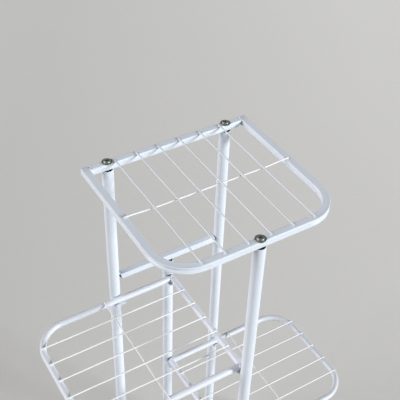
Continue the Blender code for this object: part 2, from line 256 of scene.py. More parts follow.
# ================================================================ mesh building
class Shape:
    """Collects rings and faces, then becomes one piece."""

    def __init__(self):
        self.verts, self.faces, self.mats = [], [], []

    def rings(self, rings, loop=False, cap_start=None, cap_end=None, inside=()):
        """Quads between rings of one count. A cap is None, "flat" or a point. Ring indices in inside get material 1."""
        n, base, m = len(rings[0]), len(self.verts), len(rings)
        for ring in rings:
            self.verts.extend(Vector(p) for p in ring)
        for i in range(m if loop else m - 1):
            j = (i + 1) % m
            dark = 1 if (i in inside and j in inside) else 0
            for k in range(n):
                a = (k + 1) % n
                self.faces.append((base + i * n + k, base + i * n + a, base + j * n + a, base + j * n + k))
                self.mats.append(dark)
        for cap, start, flip in ((cap_start, base, True), (cap_end, base + (m - 1) * n, False)):
            if cap is None:
                continue
            ids = list(range(start, start + n))
            if cap == "flat":
                self.faces.append(tuple(reversed(ids)) if flip else tuple(ids))
                self.mats.append(0)
            else:
                self.verts.append(Vector(cap))
                c = len(self.verts) - 1
                for k in range(n):
                    pair = (ids[k], ids[(k + 1) % n])
                    self.faces.append((pair[1], pair[0], c) if flip else (pair[0], pair[1], c))
                    self.mats.append(0)

    def piece(self, name, materials, nodes=(), sharp=34.0):
        mesh = bpy.data.meshes.new(name)
        mesh.from_pydata([tuple(v) for v in self.verts], [], self.faces)
        for mat in materials:
            mesh.materials.append(mat)
        for poly, index in zip(mesh.polygons, self.mats):
            poly.material_index = index
        mesh.validate()
        import bmesh
        bm = bmesh.new()
        bm.from_mesh(mesh)
        bmesh.ops.recalc_face_normals(bm, faces=bm.faces)
        bm.to_mesh(mesh)
        bm.free()
        mesh.shade_smooth()
        mesh.set_sharp_from_angle(angle=math.radians(sharp))
        ob = bpy.data.objects.new(name, mesh)
        bpy.context.scene.collection.objects.link(ob)
        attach(ob, "root")
        if nodes:
            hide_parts(*nodes)
        return ob


def route(corners, radius=0.0, arc_steps=30, spacing=0.018, closed=False, soft=0.006):
    """Stations along straight runs joined by arcs: (point, bend weight). The weight fades in over soft metres."""
    corners = [Vector(c) for c in corners]
    n = len(corners)
    anchors = []
    for i, c in enumerate(corners):
        if not closed and i in (0, n - 1):
            anchors.append([(c, 0.0)])
            continue
        a = (corners[i - 1] - c).normalized()
        b = (corners[(i + 1) % n] - c).normalized()
        start, end = c + a * radius, c + b * radius
        centre = c + (a + b) * radius
        arc = []
        for k in range(arc_steps + 1):
            t = math.pi / 2 * k / arc_steps
            u = min(t, math.pi / 2 - t) * radius / soft / 2
            w = 0.5 + 0.5 * min(1.0, u)
            arc.append((centre + (start - centre) * math.cos(t) + (end - centre) * math.sin(t), w * w * (3 - 2 * w)))
        anchors.append(arc)
    out = []
    for i, arc in enumerate(anchors):
        out.extend(arc)
        if i == len(anchors) - 1 and not closed:
            break
        following = anchors[(i + 1) % len(anchors)][0]
        last, target = arc[-1][0], following[0]
        length = (target - last).length
        steps = max(1, int(round(length / spacing)))
        for k in range(1, steps):
            p = last.lerp(target, k / steps)
            d = min(k / steps * length if arc[-1][1] > 0 else 1.0, (1 - k / steps) * length if following[1] > 0 else 1.0)
            w = max(0.0, 0.5 * (1 - d / soft))
            out.append((p, w * w * (3 - 2 * w)))
    return out


def with_soft_ends(stations, soft=0.006):
    """Adds a close station each side of every bend so the dent fades over a short length."""
    out = []
    for i, (p, w) in enumerate(stations):
        if i and (stations[i - 1][1] == 0.0) != (w == 0.0):
            q, v = stations[i - 1]
            length = (p - q).length
            if length > soft * 1.5:
                if w > 0.0:
                    out.append((p + (q - p).normalized() * soft, 0.0))
                    out.append((p + (q - p).normalized() * soft * 0.5, w * 0.3))
                else:
                    out.append((q + (p - q).normalized() * soft * 0.5, v * 0.3))
                    out.append((q + (p - q).normalized() * soft, 0.0))
        out.append((p, w))
    return out


def frames(stations, closed=False):
    n = len(stations)
    out = []
    for i, (p, w) in enumerate(stations):
        before = stations[i - 1][0] if (i or closed) else p
        after = stations[(i + 1) % n][0] if (i < n - 1 or closed) else p
        t = (after - before).normalized()
        side = Z.cross(t)
        side = side.normalized() if side.length > 1e-6 else Vector((1.0, 0.0, 0.0))
        out.append((p, t, side, t.cross(side).normalized(), w))
    return out


def square_outline(half, corner, dent=0.0, corner_steps=5, side_steps=12):
    """Rounded square in (side, up). The -side face is hollowed by dent, as a bent square tube is on the outside of its bend."""
    pts = []
    flat = half - corner
    for c in range(4):
        cs, cu = ((1, 1), (-1, 1), (-1, -1), (1, -1))[c]
        for k in range(corner_steps + 1):
            a = math.pi / 2 * (c + k / corner_steps)
            pts.append((cs * flat + corner * math.cos(a), cu * flat + corner * math.sin(a)))
        last = pts[-1]
        ns, nu = ((-1, 1), (-1, -1), (1, -1), (1, 1))[c]
        a = math.pi / 2 * (c + 1)
        nxt = (ns * flat + corner * math.cos(a), nu * flat + corner * math.sin(a))
        for k in range(1, side_steps):
            f = k / side_steps
            pts.append((last[0] + (nxt[0] - last[0]) * f, last[1] + (nxt[1] - last[1]) * f))
    if dent:
        shaped = []
        for s, u in pts:
            fall = max(0.0, 1 - (u / half) ** 2)
            if s < -flat * 0.98:
                s += dent * (0.30 * fall + 0.70 * math.exp(-(u / half / 0.30) ** 2))
            elif s > flat * 0.98:
                s += dent * 0.22 * fall
            elif abs(u) > flat * 0.98:
                u -= math.copysign(dent * 0.10 * max(0.0, 1 - (s / half) ** 2), u)
            shaped.append((s, u))
        pts = shaped
    return pts


def round_outline(radius, steps):
    return [(radius * math.cos(math.tau * k / steps), radius * math.sin(math.tau * k / steps)) for k in range(steps)]


def tube(shape, stations, outline, wall, start_cut=None, end_cut=None, closed=False):
    """outline(inset, weight) gives the section. An open tube gets an inner wall and rounded rims; a closed loop is one skin.
    start_cut and end_cut give, for a section point (s, u), how far the end reaches beyond (+) or stays short of (-) its station."""
    fr = frames(stations, closed)

    def ring(i, inset, along=0.0, cut_fn=None):
        p, t, side, up, w = fr[i]
        pts = []
        for s, u in outline(inset, w):
            shift = along + (cut_fn(s, u) if cut_fn else 0.0)
            pts.append(p + side * s + up * u + t * shift)
        return pts

    if closed:
        shape.rings([ring(i, 0.0) for i in range(len(fr))], loop=True)
        return
    n = len(fr)
    half = wall / 2
    rings, inside = [], set()

    def sgn_cut(fn, sign):
        return (lambda s, u: sign * fn(s, u)) if fn else None

    cs, ce = sgn_cut(start_cut, -1.0), sgn_cut(end_cut, 1.0)
    rings.append(ring(0, 0.0, half, cs))
    rings.extend(ring(i, 0.0) for i in range(1, n - 1))
    rings.append(ring(n - 1, 0.0, -half, ce))
    for j in (1, 2, 3):
        a = math.pi * j / 4
        rings.append(ring(n - 1, half * (1 - math.cos(a)), half * math.sin(a) - half, ce))
    first_inner = len(rings)
    rings.append(ring(n - 1, wall, -half, ce))
    rings.extend(ring(i, wall) for i in range(n - 2, 0, -1))
    rings.append(ring(0, wall, half, cs))
    inside.update(range(first_inner, len(rings)))
    for j in (3, 2, 1):
        a = math.pi * j / 4
        rings.append(ring(0, half * (1 - math.cos(a)), half - half * math.sin(a), cs))
    shape.rings(rings, loop=True, inside=inside)


def rod(shape, points, radius, steps=20, seed=0, wobble=0.0, edge=0.30):
    """A solid wire with slightly rounded cut ends."""
    fr = frames([(p, 0.0) for p in points])
    circle = round_outline(1.0, steps)
    rings = []
    n = len(fr)
    rim = radius * edge
    for i, (p, t, side, up, _) in enumerate(fr):
        drift = Vector((0, 0, 0))
        if wobble and 0 < i < n - 1:
            f = math.sin(math.pi * i / (n - 1))
            drift = side * (noise.noise(Vector((i * 0.23, seed * 7.7, 0.0))) * wobble * f) + up * (noise.noise(Vector((i * 0.21, seed * 3.1, 5.0))) * wobble * 0.6 * f)
        if i == 0:
            for back, k in ((0.0, 1 - edge), (rim * 0.3, 1 - edge * 0.35), (rim, 1.0)):
                rings.append([p + t * back + (side * s + up * u) * radius * k for s, u in circle])
        elif i == n - 1:
            for back, k in ((rim, 1.0), (rim * 0.3, 1 - edge * 0.35), (0.0, 1 - edge)):
                rings.append([p - t * back + (side * s + up * u) * radius * k for s, u in circle])
        else:
            rings.append([p + drift + (side * s + up * u) * radius for s, u in circle])
    shape.rings(rings, cap_start=fr[0][0] - fr[0][1] * rim * 0.12, cap_end=fr[-1][0] + fr[-1][1] * rim * 0.12)


def bead(shape, points, radius, seed, ripple=0.0013, steps=12, flatten=1.0):
    """A weld run: a tube along a line, its width rippled and uneven, tapering to nothing at both ends."""
    points = [Vector(p) for p in points]
    fine, step = [], radius * 0.34
    for a, b in zip(points, points[1:]):
        k = max(1, int((b - a).length / step))
        fine.extend(a.lerp(b, j / k) for j in range(k))
    fine.append(points[-1])
    run = [0.0]
    for a, b in zip(fine, fine[1:]):
        run.append(run[-1] + (b - a).length)
    total = run[-1]
    rings = []
    n = len(fine)
    for i, p in enumerate(fine):
        before, after = fine[max(0, i - 1)], fine[min(n - 1, i + 1)]
        t = (after - before).normalized()
        side = t.cross(Z)
        side = side.normalized() if side.length > 1e-3 else Vector((1.0, 0.0, 0.0))
        up = side.cross(t).normalized()
        d = min(run[i], total - run[i])
        end = math.sqrt(max(0.02, 1 - (1 - min(1.0, d / radius)) ** 2))
        swell = 0.90 + 0.16 * noise.noise(Vector((run[i] * 420, seed * 4.7, 1.0))) + 0.10 * abs(math.sin(math.pi * run[i] / ripple + seed))
        ring = []
        for k in range(steps):
            a = math.tau * k / steps
            local = 1 + 0.07 * noise.noise(Vector((math.cos(a) * 1.5 + seed, math.sin(a) * 1.5, run[i] * 600)))
            r = radius * end * swell * local
            ring.append(p + side * math.cos(a) * r + up * math.sin(a) * r * flatten)
        rings.append(ring)
    shape.rings(rings, cap_start=fine[0] - (fine[1] - fine[0]).normalized() * radius * 0.03, cap_end=fine[-1] + (fine[-1] - fine[-2]).normalized() * radius * 0.03)


def blob(shape, centre, along, across, high, direction, seed, rows=9, cols=20):
    """A pad of squeezed-out metal under a resistance-welded wire: a lumpy flattened ellipsoid."""
    centre, t = Vector(centre), Vector(direction).normalized()
    side = Z.cross(t).normalized()
    rings = []
    for i in range(1, rows):
        a = math.pi * i / rows
        ring = []
        for k in range(cols):
            b = math.tau * k / cols
            local = Vector((math.cos(a), math.sin(a) * math.cos(b), math.sin(a) * math.sin(b)))
            lump = 1 + 0.13 * noise.noise(local * 1.9 + Vector((seed * 3.3, seed, 0.0)))
            ring.append(centre + t * local.x * along * lump + side * local.y * across * lump + Z * local.z * high * lump)
        rings.append(ring)
    shape.rings(rings, cap_start=centre + t * along, cap_end=centre - t * along)


def revolve(shape, profile, centre, steps=64, loop=False, flip=1.0, inside=()):
    """Rings of a (radius, height) profile about a vertical axis. A solid's first and last radii may be 0 for its poles."""
    cx, cy, cz = centre
    rings, poles = [], [None, None]
    pts = list(profile)
    if not loop and pts[0][0] == 0.0:
        poles[0] = (cx, cy, cz + flip * pts.pop(0)[1])
    if not loop and pts[-1][0] == 0.0:
        poles[1] = (cx, cy, cz + flip * pts.pop()[1])
    for r, h in pts:
        rings.append([(cx + r * math.cos(math.tau * k / steps), cy + r * math.sin(math.tau * k / steps), cz + flip * h) for k in range(steps)])
    shape.rings(rings, loop=loop, cap_start=poles[0], cap_end=poles[1], inside=inside)


def screw(shape, centre, flip, flange_r, flange_h, head_r, head_h, shank_r, shank_len, socket_r, socket_depth, pitch, turn):
    """Flanged button head with a hex socket, fillets, and a cut thread on its shank."""
    cx, cy, cz = centre
    steps = 48

    def ring(radius_fn, height_fn):
        pts = []
        for k in range(steps):
            a = math.tau * k / steps
            r = radius_fn(a)
            pts.append((cx + r * math.cos(a + turn), cy + r * math.sin(a + turn), cz + flip * height_fn(a)))
        return pts

    def hexagon(scale, blend_circle=0.0):
        def fn(a):
            r = socket_r * math.cos(math.pi / 6) / math.cos((a % (math.pi / 3)) - math.pi / 6)
            return (r * (1 - blend_circle) + socket_r * blend_circle) * scale
        return fn

    def flat(h):
        return lambda a: h

    floor = head_h - socket_depth
    rings = [
        ring(hexagon(0.30), flat(floor - 0.00012)), ring(hexagon(0.86), flat(floor)), ring(hexagon(0.97), flat(floor + 0.0001)),
        ring(hexagon(1.0), flat(floor + 0.0003)), ring(hexagon(1.0), flat(head_h - 0.00030)), ring(hexagon(1.03, 0.15), flat(head_h - 0.0001)),
        ring(hexagon(1.14, 0.75), flat(head_h)),
    ]
    for r, h in ((0.58, 1.0), (0.66, 0.985), (0.76, 0.935), (0.85, 0.85), (0.92, 0.74), (0.97, 0.61), (0.995, 0.48)):
        rings.append(ring(lambda a, r=r: head_r * r, flat(head_h * h)))
    if flange_r > head_r:
        for r, h in ((head_r * 1.0, flange_h * 1.45), (head_r + (flange_r - head_r) * 0.14, flange_h * 1.08), (flange_r * 0.93, flange_h * 0.96),
                     (flange_r * 0.975, flange_h * 0.82), (flange_r, flange_h * 0.55), (flange_r, flange_h * 0.2), (flange_r * 0.985, 0.0)):
            rings.append(ring(lambda a, r=r: r, flat(h)))
    else:
        for r, h in ((1.0, 0.30), (1.0, 0.05), (0.97, 0.0)):
            rings.append(ring(lambda a, r=r: head_r * r, flat(head_h * h)))
    rings.append(ring(lambda a: shank_r * 1.12, flat(0.0)))
    rings.append(ring(lambda a: shank_r, flat(-0.0003)))
    per = 6
    count = int((shank_len - 0.0012) / pitch * per)
    for i in range(count + 1):
        z = -0.0006 - i * pitch / per
        fade = min(1.0, i / (per * 1.5), (count - i) / (per * 1.0) + 0.1)

        def thread(a, z=z, fade=fade):
            f = (-z / pitch + a / math.tau) % 1.0
            tri = abs(2 * f - 1)
            return shank_r - 0.28 * pitch * fade * min(1.0, max(0.0, tri * 1.35 - 0.12))
        rings.append(ring(thread, flat(z)))
    rings.append(ring(lambda a: shank_r * 0.80, flat(-shank_len + 0.0003)))
    rings.append(ring(lambda a: shank_r * 0.62, flat(-shank_len)))
    shape.rings(rings, cap_start=(cx, cy, cz + flip * (floor - 0.00018)), cap_end="flat")


# ================================================================ levels and places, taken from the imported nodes
top_lo, top_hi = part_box("top_tray_bent_rail")
back_lo, back_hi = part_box("top_tray_back_rail")
SQ = top_hi.z - top_lo.z
HALF = SQ / 2
TOP = top_hi.z
TOP_Z = TOP - HALF
RAIL_X = top_hi.x - HALF
END_Y = top_hi.y
POST_Y = mid("upright_back_left").y
POST_X = mid("upright_back_right").x
POST_R = (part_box("upright_front")[1].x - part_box("upright_front")[0].x) / 2
WIRE_R = (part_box("top_tray_wire_1")[1].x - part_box("top_tray_wire_1")[0].x) / 2
BEND = 0.045
SQ_CORNER = 0.00145
SQ_WALL = 0.0010
SINK = 0.00028                      # how far a welded wire bites into its rail


def square_section(dent_depth=0.0025):
    def fn(inset, weight):
        return square_outline(HALF - inset, max(0.0004, SQ_CORNER - inset), dent_depth * weight)
    return fn


# ================================================================ top tray
tray_welds = Shape()

bent = Shape()
tube(bent, with_soft_ends(route([(-RAIL_X, END_Y, TOP_Z), (-RAIL_X, -POST_Y, TOP_Z), (RAIL_X, -POST_Y, TOP_Z), (RAIL_X, END_Y, TOP_Z)], BEND)),
     square_section(), SQ_WALL)
bent.piece("top_tray_bent_rail_coated", [COAT, INSIDE], ["top_tray_bent_rail"])


def snipped_right(s, u):
    """The right end of the back rail is cut out of square: short at its lower front corner, leaving an open notch."""
    return 0.00025 - 0.0058 * max(0.0, min(1.0, 0.5 - s / SQ)) ** 1.2 * max(0.0, min(1.0, 0.58 - u / SQ)) ** 0.9


def snipped_left(s, u):
    """The left end stands off a little at its upper back corner."""
    return 0.00025 - 0.0021 * max(0.0, s / HALF) ** 2 * max(0.0, u / HALF) ** 2


back = Shape()
tube(back, route([(back_lo.x, POST_Y, TOP_Z), (back_hi.x, POST_Y, TOP_Z)], spacing=0.02), square_section(0.0), SQ_WALL,
     start_cut=snipped_left, end_cut=snipped_right)
back.piece("top_tray_back_rail_coated", [COAT, INSIDE], ["top_tray_back_rail"])

# fillet welds where the back rail meets the side rails
for sign in (-1, 1):
    x = sign * (RAIL_X - HALF - 0.0002)
    f, b, t, d = POST_Y - HALF, POST_Y + HALF, TOP, TOP - SQ
    if sign < 0:
        bead(tray_welds, [(x, b - 0.0045, t - 0.0002), (x, f + 0.0002, t - 0.0002), (x, f - 0.0001, t - 0.0060)], 0.00115, 3)
        bead(tray_welds, [(x, f - 0.0001, d + 0.0030), (x, f, d + 0.0002), (x, b - 0.001, d)], 0.0010, 4)
    else:
        bead(tray_welds, [(x, b - 0.0010, t - 0.0002), (x, f + 0.0002, t - 0.0001), (x, f - 0.0001, t - 0.0016)], 0.0012, 5)
        bead(tray_welds, [(x, f + 0.0042, d), (x, b - 0.001, d)], 0.0010, 6)
    bead(tray_welds, [(x, b, d + 0.002), (x, b, t - 0.003)], 0.0010, 7 + sign)

for i in range(6):
    node = "top_tray_wire_%d" % (i + 1)
    lo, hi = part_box(node)
    x = (lo.x + hi.x) / 2
    z = TOP + WIRE_R - SINK
    s = Shape()
    count = 25
    rod(s, [Vector((x, lo.y + (hi.y - lo.y) * k / count, z)) for k in range(count + 1)], WIRE_R, seed=i + 1, wobble=0.0006)
    s.piece(node + "_coated", [SHADED_TOP_WIRE_COPY], [node])
    for y in (lo.y + 0.0035, hi.y - 0.0035):
        blob(tray_welds, (x, y, TOP - 0.0002), 0.0030, WIRE_R * 1.38, 0.00075, (0, 1, 0), i + y)


def dipped(a, b, ends_z, middle_z, place, flat=0.0050, slope=0.034, count=44):
    """A cross wire that lies on the rails at its ends and swings down under the long wires."""
    pts = []
    for k in range(count + 1):
        f = k / count
        u = a + (b - a) * f
        d = min(abs(u - a), abs(b - u))
        w = min(1.0, max(0.0, (d - flat) / slope))
        pts.append(place(u, ends_z + (middle_z - ends_z) * (0.5 - 0.5 * math.cos(math.pi * w))))
    return pts


node = "top_tray_cross_wire"
lo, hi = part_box(node)
cross_y = (lo.y + hi.y) / 2
s = Shape()
on_top = TOP + WIRE_R - SINK
rod(s, dipped(lo.x, hi.x, on_top, TOP - SINK - WIRE_R + 0.0004, lambda u, z: Vector((u, cross_y, z)), count=72), WIRE_R, seed=9, wobble=0.0004)
s.piece(node + "_coated", [LIT_WIRE_COPY], [node])
for x in (lo.x + 0.003, hi.x - 0.003):
    blob(tray_welds, (x, cross_y, TOP - 0.0002), 0.0030, WIRE_R * 1.38, 0.00075, (1, 0, 0), 20 + x)
for i in range(6):
    c = mid("top_tray_wire_%d" % (i + 1))
    blob(tray_welds, (c.x, cross_y, TOP - SINK + 0.0001), WIRE_R * 1.3, WIRE_R * 1.3, 0.0006, (1, 0, 0), 31 + i)
tray_welds.piece("top_tray_welds", [COAT])

# ================================================================ side trays
for side, sign in (("left", -1), ("right", 1)):
    lo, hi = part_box(side + "_tray_bent_rail")
    RR = (hi.z - lo.z) / 2
    zc = (hi.z + lo.z) / 2
    start = lo.x if sign > 0 else hi.x
    reach = (hi.x - RR) if sign > 0 else (lo.x + RR)
    ry = hi.y - RR
    welds = Shape()

    def round_section(inset, weight, radius=RR):
        pts = []
        for s_, u_ in round_outline(radius - inset, 32):
            squash = 1 - 0.035 * weight
            pts.append((s_ * squash + 0.00012 * weight, u_ * (1 + 0.012 * weight)))
        return pts

    def fish_mouth(s_, u_, radius=RR):
        """The leg's end follows the inner rail it is welded to."""
        return (abs(start) - math.sqrt(max(0.0, radius * radius - u_ * u_))) - 0.00005

    def open_mouth(s_, u_, radius=RR, back=sign):
        """The back leg's end is nipped off at its upper back edge, beside the upright, so its hollow shows."""
        nip = max(0.0, min(1.0, (0.95 * back * s_ / radius + 0.45 * u_ / radius - 0.45) / 0.40))
        return fish_mouth(s_, u_) - 0.0040 * nip

    s = Shape()
    corners = [(start, ry, zc), (reach, ry, zc), (reach, -ry, zc), (start, -ry, zc)]
    if sign < 0:
        corners = [(start, ry, zc), (reach, ry, zc), (reach, -ry, zc), (start, -ry, zc)]
    tube(s, with_soft_ends(route(corners, BEND)), round_section, 0.0009, start_cut=open_mouth, end_cut=fish_mouth)
    s.piece(side + "_tray_bent_rail_coated", [SIDE_TRAY_LIT_COPY, INSIDE], [side + "_tray_bent_rail"])

    ilo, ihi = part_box(side + "_tray_inner_rail")

    def plain_cut(s_, u_, radius=RR):
        """The inner rail's back end is sawn a little askew, open on its upper outer side."""
        return -0.0001 - 0.0030 * max(0.0, min(1.0, 0.45 + 0.5 * s_ / radius + 0.35 * u_ / radius)) ** 2

    def front_cut(s_, u_, radius=RR):
        return -0.0001 - 0.0008 * max(0.0, s_ / radius)

    s = Shape()
    tube(s, route([(0.0, ilo.y, zc), (0.0, ihi.y, zc)], spacing=0.016), round_section, 0.0009, start_cut=front_cut, end_cut=plain_cut)
    s.piece(side + "_tray_inner_rail_coated", [SIDE_TRAY_LIT_COPY, INSIDE], [side + "_tray_inner_rail"])

    for face in (-1, 1):
        saddle = []
        for k in range(9):
            a = math.radians(-70 + (140 if face < 0 else 88) * k / 8)
            u = RR * math.cos(a)
            saddle.append((sign * (math.sqrt(max(0.0, RR * RR - u * u)) + 0.0007), face * ry + RR * math.sin(a), zc + u + 0.0001))
        bead(welds, saddle, 0.00095, 40 + face + sign * 3)
        saddle = [(p[0], p[1], 2 * zc - p[2]) for p in saddle]
        bead(welds, saddle, 0.00095, 50 + face + sign * 3)
        ring = []
        for k in range(9):
            a = math.radians(5 + 70 * k / 8)
            sx = RR * math.sin(a)
            ring.append((sx, face * (POST_Y - math.sqrt(POST_R * POST_R - sx * sx) - 0.0003), zc - RR * math.cos(a)))
        bead(welds, ring, 0.0009, 60 + face + sign * 3)

    top = zc + RR
    for i in range(5):
        node = "%s_tray_wire_%d" % (side, i + 1)
        lo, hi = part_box(node)
        y = (lo.y + hi.y) / 2
        z = top + WIRE_R - SINK
        s = Shape()
        count = 24
        rod(s, [Vector((lo.x + (hi.x - lo.x) * k / count, y, z)) for k in range(count + 1)], WIRE_R, seed=30 + i + sign * 9, wobble=0.0006)
        s.piece(node + "_coated", [LIT_WIRE_COPY], [node])
        blob(welds, (0.0, y, top - 0.00025), 0.0017, WIRE_R * 1.4, 0.0007, (1, 0, 0), 70 + i + sign)
        blob(welds, (reach, y, top - 0.00025), 0.0018, WIRE_R * 1.4, 0.0007, (1, 0, 0), 80 + i + sign)

    node = side + "_tray_cross_wire"
    lo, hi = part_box(node)
    x = (lo.x + hi.x) / 2
    s = Shape()
    rod(s, dipped(lo.y, hi.y, top + WIRE_R - SINK, top - SINK - WIRE_R + 0.0004, lambda u, z, x=x: Vector((x, u, z)), flat=0.0030, slope=0.028, count=60), WIRE_R, seed=50 + sign, wobble=0.0004)
    s.piece(node + "_coated", [LIT_WIRE_COPY], [node])
    for y in (-ry, ry):
        blob(welds, (x, y, top - 0.00025), 0.0018, WIRE_R * 1.4, 0.0007, (0, 1, 0), 90 + y)
    for i in range(5):
        c = mid("%s_tray_wire_%d" % (side, i + 1))
        blob(welds, (x, c.y, top - SINK + 0.0001), WIRE_R * 1.3, WIRE_R * 1.3, 0.0006, (0, 1, 0), 95 + i)
    welds.piece(side + "_tray_welds", [SIDE_TRAY_LIT_COPY])

# ================================================================ uprights
for name in ("back_left", "back_right", "front", "back_middle"):
    node = "upright_" + name
    lo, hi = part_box(node)
    c = (lo + hi) / 2
    length = hi.z - lo.z
    wall = 0.0008 if name == "back_middle" else 0.0010
    inner = POST_R - wall
    h = wall / 2
    outer_levels = [h + 0.0003] + [length * k / 12 for k in range(1, 12)] + [length - h - 0.0003]
    profile = [(POST_R, z) for z in outer_levels]
    for j in (1, 2, 3):
        a = math.pi * j / 4
        profile.append((POST_R - h * (1 - math.cos(a)), length - h + h * math.sin(a)))
    first = len(profile)
    profile += [(inner, length - h - 0.0003)] + [(inner, length * k / 12) for k in range(11, 0, -1)] + [(inner, h + 0.0003)]
    inside = set(range(first, len(profile)))
    for j in (3, 2, 1):
        a = math.pi * j / 4
        profile.append((POST_R - h * (1 - math.cos(a)), h - h * math.sin(a)))
    s = Shape()
    revolve(s, profile, (c.x, c.y, lo.z), steps=72, loop=True, inside=inside)
    if name == "back_middle":                       # its top is cut a little low at the front, below the crossbar
        for v in s.verts:
            if v.z > hi.z - 0.004:
                v.z -= 0.0022 * max(0.0, (c.y - v.y) / POST_R) ** 1.5
    s.piece(node + "_coated", [COAT, INSIDE], [node])

# ================================================================ crossbar, cut square against the round uprights
lo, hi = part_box("crossbar")
BAR_Z = (lo.z + hi.z) / 2
s = Shape()


def bar_left(s_, u_):
    return -0.0034 * max(0.0, min(1.0, 0.5 - s_ / SQ)) ** 1.2 * max(0.0, min(1.0, 0.55 - u_ / SQ)) ** 0.9


def bar_right(s_, u_):
    return -0.0022 * max(0.0, min(1.0, 0.5 - s_ / SQ)) ** 1.2 * max(0.0, min(1.0, 0.45 + u_ / SQ))


tube(s, route([(lo.x, POST_Y, BAR_Z), (hi.x, POST_Y, BAR_Z)], spacing=0.018), square_section(0.0), SQ_WALL, start_cut=bar_left, end_cut=bar_right)
s.piece("crossbar_coated", [COAT, INSIDE], ["crossbar"])
s = Shape()
for sign in (-1, 1):
    x = sign * (POST_X - POST_R - 0.0001)
    for dz, seed in ((HALF, 1), (-HALF, 2)):
        run = []
        for k in range(7):
            y = (-0.0032 if dz > 0 and sign < 0 else 0.0004) + 0.0040 * k / 6
            run.append((sign * (POST_X - math.sqrt(POST_R ** 2 - y * y) - 0.0003), POST_Y + y, BAR_Z + dz - math.copysign(0.0001, dz)))
        bead(s, run, 0.00095, 110 + seed + sign)
    bead(s, [(x + sign * 0.0010, POST_Y + HALF - 0.0004, BAR_Z - 0.0035), (x + sign * 0.0010, POST_Y + HALF - 0.0004, BAR_Z + 0.0035)], 0.0011, 120 + sign)
for a0, a1, seed in ((8, 172, 2),):
    run = []
    for k in range(9):
        a = math.radians(a0 + (a1 - a0) * k / 8)
        run.append(((POST_R - 0.0006) * math.cos(a), POST_Y + (POST_R - 0.0006) * math.sin(a), BAR_Z - HALF - 0.0001))
    run = [p for p in run if abs(p[1] - POST_Y) < HALF + 0.0003]
    if len(run) > 2:
        bead(s, run, 0.0008, 130 + seed)
s.piece("crossbar_welds", [COAT])

# ================================================================ base frame
lo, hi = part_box("base_frame")
BASE_Z = (lo.z + hi.z) / 2
bx, by = hi.x - HALF, hi.y - HALF
s = Shape()
tube(s, route([(-bx, by, BASE_Z), (-bx, -by, BASE_Z), (bx, -by, BASE_Z), (bx, by, BASE_Z)], BEND, closed=True), square_section(), SQ_WALL, closed=True)
s.piece("base_frame_coated", [COAT, INSIDE], ["base_frame"])
s = Shape()
for face, x in ((1, 0.047), (-1, -0.061)):
    h = HALF + 0.0001
    bead(s, [(x, face * by + dy * h, BASE_Z + dz * h) for dy, dz in ((-0.8, -1), (-1, -0.8), (-1, 0.8), (-0.8, 1), (0.8, 1), (1, 0.8), (1, -0.8), (0.8, -1))], 0.0007, 140 + face)
c = mid("upright_back_middle")
for a0 in (-40, 140):
    bead(s, [(c.x + (POST_R + 0.0003) * math.cos(math.radians(a0 + 80 * k / 8)), c.y + (POST_R + 0.0003) * math.sin(math.radians(a0 + 80 * k / 8)), BASE_Z + HALF + 0.0003)
             for k in range(9) if abs((POST_R + 0.0003) * math.sin(math.radians(a0 + 80 * k / 8))) < HALF + 0.0004], 0.0010, 150 + a0)
s.piece("base_frame_welds", [COAT])

# ================================================================ inserts, screws, feet
random.seed(11)
for name in ("back_left", "back_right", "front"):
    for level, sgn in (("top", 1.0), ("base", -1.0)):
        node = "%s_insert_%s" % (level, name)
        lo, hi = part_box(node)
        c = (lo + hi) / 2
        r = (hi.x - lo.x) / 2
        tall = hi.z - lo.z
        z0 = hi.z if sgn > 0 else lo.z
        bore = 0.0033
        profile = [(bore + 0.0002, 0.0), (r * 0.62, 0.0), (r * 0.66, -0.0003), (r * 0.86, -0.0003), (r * 0.90, 0.0), (r - 0.0003, 0.0), (r, -0.0003)]
        profile += [(r, -tall * 0.4), (r, -tall * 0.8), (r - 0.0006, -tall + 0.0004), (r - 0.0010, -tall), (bore + 0.0004, -tall), (bore, -tall + 0.0004),
                    (bore, -tall * 0.5), (bore, -0.0003)]
        s = Shape()
        revolve(s, profile, (c.x, c.y, z0), steps=64, loop=True, flip=sgn)
        s.piece(node + "_moulded", [NYLON], [node])

        node = ("tray_screw_" if level == "top" else "base_screw_") + name
        lo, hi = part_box(node)
        c = (lo + hi) / 2
        flange_r = (hi.x - lo.x) / 2
        head_h = 0.0033
        seat = hi.z - head_h if sgn > 0 else lo.z + head_h
        s = Shape()
        screw(s, (c.x, c.y, seat), sgn, flange_r, 0.0009, 0.0049, head_h, 0.0030, (hi.z - lo.z) - head_h, 0.0023, 0.0020, 0.0010, random.uniform(0, 1.0))
        s.piece(node + "_plated", [ZINC], [node])

for where in ("front_left", "front_right", "back_left", "back_right"):
    node = "foot_" + where
    lo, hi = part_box(node)
    c = (lo + hi) / 2
    r = (hi.x - lo.x) / 2
    body = 0.0122
    profile = [(0.0, hi.z), (0.0021, hi.z), (0.0026, hi.z - 0.0005), (0.0026, hi.z - 0.0020), (0.0026, body + 0.0002), (0.0028, body), (0.0058, body), (0.0063, body - 0.0003),
               (0.0067, body - 0.0010), (0.0070, 0.0085), (0.0070, 0.0078), (0.00665, 0.0074), (0.00665, 0.0068), (0.0071, 0.0064), (0.0076, 0.0030), (r - 0.00005, 0.0013),
               (r, 0.0009), (r - 0.0002, 0.0004), (r - 0.0008, 0.00008), (r - 0.0012, 0.0), (0.0045, 0.0), (0.0040, 0.0005), (0.0, 0.0005)]
    s = Shape()
    revolve(s, profile, (c.x, c.y, 0.0), steps=64)
    s.piece(node + "_moulded", [FOOT], [node])


